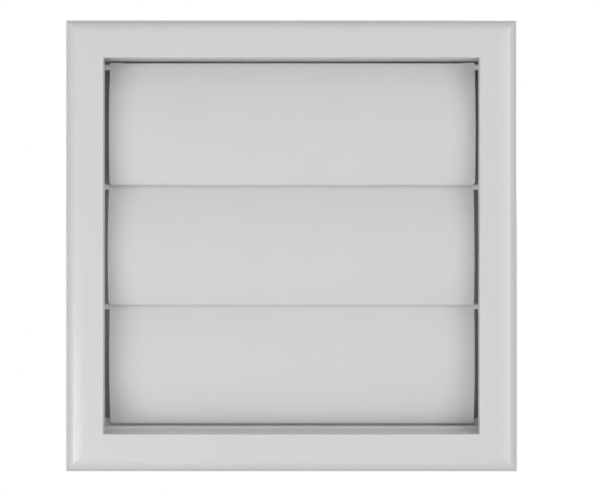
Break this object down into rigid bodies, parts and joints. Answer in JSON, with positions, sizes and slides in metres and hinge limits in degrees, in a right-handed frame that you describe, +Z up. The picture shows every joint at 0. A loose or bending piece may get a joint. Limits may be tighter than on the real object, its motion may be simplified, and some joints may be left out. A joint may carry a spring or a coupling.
{
  "type": "louvred wall vent",
  "caption": "Square white wall vent with curved gravity flaps that swing outwards in a moulded frame, over a round duct spigot.",
  "frame": {"origin": "the point where the duct axis meets the wall plane, at the back of the frame", "axes": "+Z up, +Y along the duct axis into the wall, the flaps face -Y"},
  "size_m": [0.14, 0.054, 0.14],
  "materials": {
    "frame_plastic": "white moulded plastic with a soft gloss",
    "flap_plastic": "white moulded plastic with a soft gloss"
  },
  "bodies": {
    "frame": {"frame": "frame_plastic", "back_plate": "frame_plastic"},
    "flap_top": {"flap_top": "flap_plastic"},
    "flap_middle": {"flap_middle": "flap_plastic"},
    "flap_bottom": {"flap_bottom": "flap_plastic"}
  },
  "joints": [
    {"name": "flap_top_hinge", "type": "hinge", "parent": "frame", "child": "flap_top", "pos_m": [0, -0.0125, 0.05615], "axis": [-1, 0, 0], "range_deg": [0, 80]},
    {"name": "flap_middle_hinge", "type": "hinge", "parent": "frame", "child": "flap_middle", "pos_m": [0, -0.0125, 0.01853], "axis": [-1, 0, 0], "range_deg": [0, 80]},
    {"name": "flap_bottom_hinge", "type": "hinge", "parent": "frame", "child": "flap_bottom", "pos_m": [0, -0.0125, -0.01908], "axis": [-1, 0, 0], "range_deg": [0, 86]}
  ]
}
